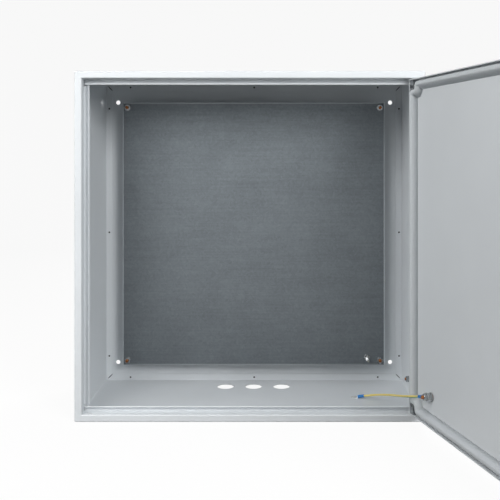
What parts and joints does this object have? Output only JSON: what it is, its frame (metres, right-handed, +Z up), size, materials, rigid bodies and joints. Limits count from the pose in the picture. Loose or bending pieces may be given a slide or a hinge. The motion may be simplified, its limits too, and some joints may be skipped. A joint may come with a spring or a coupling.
{
  "type": "steel wall enclosure",
  "caption": "Square sheet-steel wall enclosure with inset hinged door, foam seal, quarter-turn locks, mounting panel, earth wire and cable entries in the floor.",
  "frame": {"origin": "middle of the four wall holes, on the rear face of the back plate", "axes": "+Y from the door side to the wall, +Z up, +X to the right when facing the door"},
  "size_m": [0.7295, 0.7921, 0.6],
  "materials": {
    "powder_coat": "light grey textured powder coat",
    "galvanised": "hot-dip galvanised sheet",
    "bright_zinc": "bright zinc plate",
    "copper_plate": "copper-plated weld studs",
    "tinned_copper": "tinned copper",
    "blue_pvc": "blue insulating sleeve",
    "wire_pvc": "yellow and green striped insulation",
    "foam_seal": "poured polyurethane foam",
    "die_cast": "satin chromed zinc die casting",
    "nylon": "natural nylon"
  },
  "bodies": {
    "enclosure": {"top_wall": "powder_coat", "bottom_wall": "powder_coat", "left_wall": "powder_coat", "right_wall": "powder_coat", "back_plate": "powder_coat", "mounting_panel": "galvanised", "panel_studs": "copper_plate", "panel_spacers": "bright_zinc", "panel_washers": "bright_zinc", "panel_nuts": "bright_zinc", "panel_earth_bolt": "bright_zinc", "panel_earth_washer": "bright_zinc", "panel_earth_nut": "bright_zinc", "wall_earth_stud": "copper_plate", "wall_earth_washer": "bright_zinc", "wall_earth_nut": "bright_zinc", "hinge_doublers": "bright_zinc", "hinge_pins": "bright_zinc", "thrust_washer": "nylon", "free_lug": "tinned_copper", "free_lug_sleeve": "blue_pvc", "earth_wire": "wire_pvc"},
    "door": {"door_leaf": "powder_coat", "door_seal": "foam_seal", "hinge_blocks": "bright_zinc", "door_earth_stud": "copper_plate", "door_earth_washers": "bright_zinc", "door_earth_nuts": "bright_zinc", "door_lug": "tinned_copper", "door_lug_sleeve": "blue_pvc", "lock_housings": "die_cast", "lock_nuts": "bright_zinc"},
    "upper_lock": {"upper_lock_core": "die_cast", "upper_lock_cam": "bright_zinc", "upper_cam_bolt": "bright_zinc"},
    "lower_lock": {"lower_lock_core": "die_cast", "lower_lock_cam": "bright_zinc", "lower_cam_bolt": "bright_zinc"}
  },
  "joints": [
    {"name": "door_hinge", "type": "hinge", "parent": "enclosure", "child": "door", "pos_m": [0.279, -0.245, 0], "axis": [0, 0, 1], "range_deg": [-105, 15], "deforming": ["earth_wire"]},
    {"name": "upper_lock_turn", "type": "hinge", "parent": "door", "child": "upper_lock", "pos_m": [0.42074, -0.75468, 0.19], "axis": [-0.9659, -0.2588, 0], "range_deg": [0, 90]},
    {"name": "lower_lock_turn", "type": "hinge", "parent": "door", "child": "lower_lock", "pos_m": [0.42074, -0.75468, -0.19], "axis": [-0.9659, -0.2588, 0], "range_deg": [0, 90]}
  ]
}
